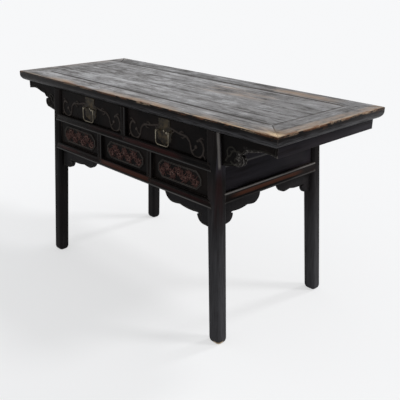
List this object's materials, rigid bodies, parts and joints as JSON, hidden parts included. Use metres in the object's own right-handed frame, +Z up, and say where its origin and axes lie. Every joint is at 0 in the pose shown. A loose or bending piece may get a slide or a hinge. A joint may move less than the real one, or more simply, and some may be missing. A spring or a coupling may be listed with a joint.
{
  "type": "chinese altar table",
  "caption": "Long lacquered coffer table with splayed square legs, overhanging framed top, carved drawers with swinging brass bails, carved panels, spandrels and end brackets",
  "frame": {"origin": "floor level, under the middle of the top", "axes": "+X along the length to the right as seen from the drawer front, -Y towards the front, +Z up"},
  "size_m": [1.586, 0.655, 0.86],
  "materials": {
    "worn_top_wood": "worn, matt",
    "lacquered_wood": "worn dark lacquer, satin",
    "carved_lacquer": "carved dark lacquer, satin",
    "inner_wood": "bare, aged",
    "aged_brass": "aged, satin"
  },
  "bodies": {
    "table": {"top_front_rail": "worn_top_wood", "top_back_rail": "worn_top_wood", "top_left_end": "worn_top_wood", "top_right_end": "worn_top_wood", "top_board_front": "worn_top_wood", "top_board_middle": "worn_top_wood", "top_board_back": "worn_top_wood", "top_battens": "inner_wood", "leg_front_left": "lacquered_wood", "leg_front_right": "lacquered_wood", "leg_back_left": "lacquered_wood", "leg_back_right": "lacquered_wood", "front_middle_rail": "lacquered_wood", "front_bottom_rail": "lacquered_wood", "drawer_muntin": "lacquered_wood", "panel_post_left": "lacquered_wood", "panel_post_right": "lacquered_wood", "carved_panel_left": "carved_lacquer", "carved_panel_middle": "carved_lacquer", "carved_panel_right": "carved_lacquer", "back_middle_rail": "lacquered_wood", "back_bottom_rail": "lacquered_wood", "back_upper_panel": "lacquered_wood", "back_lower_panel": "lacquered_wood", "side_panel_left": "lacquered_wood", "side_upper_board_left": "lacquered_wood", "side_lower_rail_left": "lacquered_wood", "end_board_left": "lacquered_wood", "front_spandrel_left": "carved_lacquer", "side_spandrels_left": "carved_lacquer", "overhang_bracket_front_left": "carved_lacquer", "overhang_bracket_back_left": "carved_lacquer", "side_panel_right": "lacquered_wood", "side_upper_board_right": "lacquered_wood", "side_lower_rail_right": "lacquered_wood", "end_board_right": "lacquered_wood", "front_spandrel_right": "carved_lacquer", "side_spandrels_right": "carved_lacquer", "overhang_bracket_front_right": "carved_lacquer", "overhang_bracket_back_right": "carved_lacquer", "compartment_floor_boards": "inner_wood", "compartment_battens": "inner_wood", "drawer_runners": "inner_wood"},
    "drawer_left": {"drawer_left_front": "carved_lacquer", "drawer_left_inner_side": "inner_wood", "drawer_left_outer_side": "inner_wood", "drawer_left_back": "inner_wood", "drawer_left_bottom": "inner_wood", "drawer_left_pull_plate": "aged_brass", "drawer_left_pull_eyes": "aged_brass"},
    "bail_left": {"drawer_left_bail": "aged_brass"},
    "drawer_right": {"drawer_right_front": "carved_lacquer", "drawer_right_inner_side": "inner_wood", "drawer_right_outer_side": "inner_wood", "drawer_right_back": "inner_wood", "drawer_right_bottom": "inner_wood", "drawer_right_pull_plate": "aged_brass", "drawer_right_pull_eyes": "aged_brass"},
    "bail_right": {"drawer_right_bail": "aged_brass"}
  },
  "joints": [
    {"name": "drawer_left_slide", "type": "slide", "parent": "table", "child": "drawer_left", "axis": [0, -1, 0], "range_m": [0, 0.38]},
    {"name": "drawer_right_slide", "type": "slide", "parent": "table", "child": "drawer_right", "axis": [0, -1, 0], "range_m": [0, 0.38]},
    {"name": "bail_left_swing", "type": "hinge", "parent": "drawer_left", "child": "bail_left", "pos_m": [-0.24108, -0.3055, 0.766], "axis": [-1, 0, 0], "range_deg": [0, 100]},
    {"name": "bail_right_swing", "type": "hinge", "parent": "drawer_right", "child": "bail_right", "pos_m": [0.24108, -0.3055, 0.766], "axis": [-1, 0, 0], "range_deg": [0, 100]}
  ]
}
